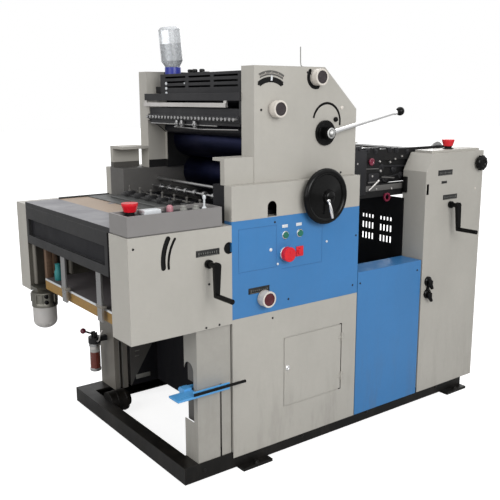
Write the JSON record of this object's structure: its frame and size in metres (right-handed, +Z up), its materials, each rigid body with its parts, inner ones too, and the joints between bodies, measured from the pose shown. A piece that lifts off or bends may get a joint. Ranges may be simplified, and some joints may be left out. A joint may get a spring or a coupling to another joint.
{
  "type": "sheet-fed offset printing press",
  "caption": "Floor-standing single-colour sheet-fed offset press with feeder, inking tower, delivery, handwheel, levers and cranks.",
  "frame": {"origin": "centre of the rectangle of four floor anchor holes, at floor level", "axes": "+X along the paper's travel from feeder to delivery, -Y the operator's side, +Z up"},
  "size_m": [2.019, 1.261, 1.8197],
  "materials": {
    "base_black": "semi-gloss black paint, scuffed",
    "cast_grey": "dark grey paint on castings",
    "cream_paint": "fine textured cream-grey paint",
    "blue_paint": "fine textured blue paint",
    "charcoal_paint": "satin charcoal paint",
    "steel": "ground steel",
    "table_steel": "satin steel sheet",
    "chrome": "polished chrome",
    "roller_rubber": "smooth dark rubber",
    "board_wood": "worn varnished board",
    "console_grey": "mid-grey paint",
    "red_plastic": "gloss red plastic",
    "green_plastic": "gloss green plastic",
    "black_plastic": "gloss black phenolic",
    "white_plastic": "off-white plastic",
    "blue_plastic": "gloss blue plastic",
    "clear_plastic": "clear plastic",
    "cast_aluminium": "cast aluminium"
  },
  "bodies": {
    "press": {"base_frame": "base_black", "anchor_feet": "base_black", "vacuum_pump": "base_black", "side_frames": "cast_grey", "lower_covers": "cream_paint", "control_panel": "blue_paint", "middle_cover_drive": "blue_paint", "ledge_covers": "cream_paint", "step_covers": "cream_paint", "tower_covers": "cream_paint", "tower_rear_guard": "charcoal_paint", "tower_frames": "charcoal_paint", "front_cross_wall": "charcoal_paint", "press_cylinders": "steel", "ink_rollers": "roller_rubber", "ink_duct_cover": "charcoal_paint", "ink_duct": "charcoal_paint", "ink_key_bars": "steel", "register_board": "charcoal_paint", "cross_bars": "steel", "chain_guides": "charcoal_paint", "link_panels": "blue_paint", "delivery_covers": "cream_paint", "delivery_guard": "charcoal_paint", "blower_tray": "charcoal_paint", "delivery_top_plate": "cream_paint", "feeder_covers": "cream_paint", "feeder_columns": "cream_paint", "feeder_end_cover": "charcoal_paint", "feeder_table": "table_steel", "feeder_board": "board_wood", "pile_boards": "board_wood", "pile_lift_bars": "charcoal_paint", "pile_posts": "steel", "control_console": "console_grey", "stop_buttons": "red_plastic", "panel_buttons": "green_plastic", "lever_boss": "black_plastic", "pivot_brackets": "charcoal_paint", "oil_pump": "steel", "air_filter": "cast_aluminium", "air_filter_bowl": "clear_plastic", "bottle": "clear_plastic", "bottle_cap": "blue_plastic"},
    "handwheel": {"handwheel": "black_plastic"},
    "impression_lever": {"impression_lever": "chrome", "impression_lever_ball": "black_plastic"},
    "feeder_crank": {"feeder_crank": "black_plastic"},
    "delivery_crank": {"delivery_crank": "black_plastic"},
    "ink_knob": {"ink_knob": "white_plastic"},
    "water_knob": {"water_knob": "white_plastic"},
    "panel_knob": {"panel_knob": "white_plastic"},
    "access_door": {"access_door": "cream_paint"},
    "foot_pedal": {"foot_pedal": "blue_paint"},
    "pump_lever": {"pump_lever": "charcoal_paint"}
  },
  "joints": [
    {"name": "handwheel_turn", "type": "hinge", "parent": "press", "child": "handwheel", "pos_m": [-0.3015, -0.519, 1.1], "axis": [0, -1, 0], "continuous": true},
    {"name": "impression_lever_swing", "type": "hinge", "parent": "press", "child": "impression_lever", "pos_m": [-0.2445, -0.519, 1.354], "axis": [0, -1, 0], "range_deg": [-50, 0]},
    {"name": "feeder_crank_turn", "type": "hinge", "parent": "press", "child": "feeder_crank", "pos_m": [-0.8635, -0.519, 0.888], "axis": [0, -1, 0], "continuous": true},
    {"name": "delivery_crank_turn", "type": "hinge", "parent": "press", "child": "delivery_crank", "pos_m": [0.5505, -0.519, 0.986], "axis": [0, -1, 0], "continuous": true},
    {"name": "ink_knob_turn", "type": "hinge", "parent": "press", "child": "ink_knob", "pos_m": [-0.5115, -0.519, 1.455], "axis": [0, -1, 0], "continuous": true},
    {"name": "water_knob_turn", "type": "hinge", "parent": "press", "child": "water_knob", "pos_m": [-0.2965, -0.519, 1.579], "axis": [0, -1, 0], "continuous": true},
    {"name": "panel_knob_turn", "type": "hinge", "parent": "press", "child": "panel_knob", "pos_m": [-0.5985, -0.519, 0.711], "axis": [0, -1, 0], "continuous": true},
    {"name": "access_door_swing", "type": "hinge", "parent": "press", "child": "access_door", "pos_m": [-0.16, -0.5235, 0.365], "axis": [0, 0, 1], "range_deg": [0, 110]},
    {"name": "foot_pedal_press", "type": "hinge", "parent": "press", "child": "foot_pedal", "pos_m": [-0.8325, -0.449, 0.385], "axis": [1, 0, 0], "range_deg": [0, 15], "stiffness_Nm_per_rad": 40, "springref_deg": -8.59},
    {"name": "pump_lever_stroke", "type": "hinge", "parent": "press", "child": "pump_lever", "pos_m": [-0.9055, 0.441, 0.364], "axis": [0, -1, 0], "range_deg": [-30, 0]}
  ]
}
